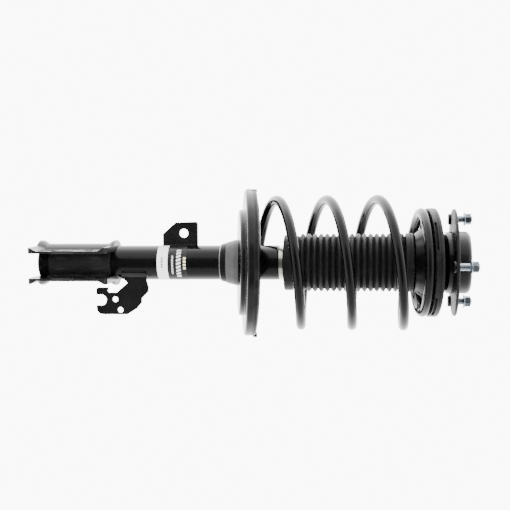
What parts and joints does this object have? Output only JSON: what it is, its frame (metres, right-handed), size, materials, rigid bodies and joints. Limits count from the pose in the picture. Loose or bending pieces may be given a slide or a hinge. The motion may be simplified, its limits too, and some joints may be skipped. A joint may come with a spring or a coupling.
{
  "type": "suspension strut assembly",
  "caption": "Front suspension strut: damper with a knuckle clevis, coil spring between two seats, dust boot, and a studded top mount that lets it steer.",
  "frame": {"origin": "middle of the stud circle on the mount plate's top face", "axes": "+Z along the damper towards the car's body, -Y the way the knuckle clevis opens, -X towards the stabilizer link's tab"},
  "size_m": [0.2158, 0.2105, 0.632],
  "materials": {
    "black_paint": "gloss black paint",
    "spring_coat": "gloss black powder coat",
    "rubber": "moulded black rubber",
    "foam": "micro-cellular foam",
    "zinc": "blue-white zinc plate",
    "chrome_rod": "ground hard chrome",
    "machined_steel": "turned steel",
    "cap_metal": "bright passivated steel",
    "sintered": "sintered iron",
    "nylon": "glass-filled nylon",
    "ptfe": "filled low-friction polymer",
    "paper": "matt white label",
    "decal": "printed film"
  },
  "bodies": {
    "top_mount": {"mount_plate": "black_paint", "mount_cup": "black_paint", "mount_rubber": "rubber", "mount_sleeve": "machined_steel", "mount_lower_shell": "black_paint", "mount_studs": "zinc", "stud_nuts": "zinc", "rod_washer": "machined_steel", "rod_nut": "zinc", "bearing_upper_race": "machined_steel", "piston_rod": "chrome_rod", "rebound_stop": "rubber", "piston": "sintered", "piston_band": "ptfe", "piston_nut": "machined_steel"},
    "ball_cage": {"bearing_cage": "nylon", "bearing_balls": "machined_steel"},
    "upper_seat": {"bearing_lower_race": "machined_steel", "upper_spring_seat": "black_paint", "upper_insulator": "rubber", "coil_spring": "spring_coat", "dust_boot": "rubber", "bump_stop": "foam"},
    "strut_body": {"damper_tube": "black_paint", "base_cup": "black_paint", "inner_cylinder": "machined_steel", "base_valve": "sintered", "rod_guide": "sintered", "rod_seal": "rubber", "gland_cap": "cap_metal", "lower_spring_seat": "black_paint", "seat_collar": "black_paint", "lower_insulator": "rubber", "knuckle_bracket": "black_paint", "bracket_saddle": "black_paint", "stabilizer_tab": "black_paint", "hose_bracket": "black_paint", "paper_label": "paper", "tube_decal": "decal"}
  },
  "joints": [
    {"name": "steer_swivel", "type": "hinge", "parent": "top_mount", "child": "upper_seat", "pos_m": [0, 0, -0.0236], "axis": [0, 0, 1], "range_deg": [-40, 40]},
    {"name": "cage_roll", "type": "hinge", "parent": "top_mount", "child": "ball_cage", "pos_m": [0, 0, -0.0236], "axis": [0, 0, 1], "range_deg": [-20, 20]},
    {"name": "stroke", "type": "slide", "parent": "upper_seat", "child": "strut_body", "axis": [0, 0, 1], "range_m": [0, 0.14], "stiffness_N_per_m": 25000, "springref_m": -0.04, "deforming": ["coil_spring", "dust_boot"]}
  ],
  "couplings": [
    {"joint": "cage_roll", "follows": "steer_swivel", "ratio": 0.5}
  ]
}
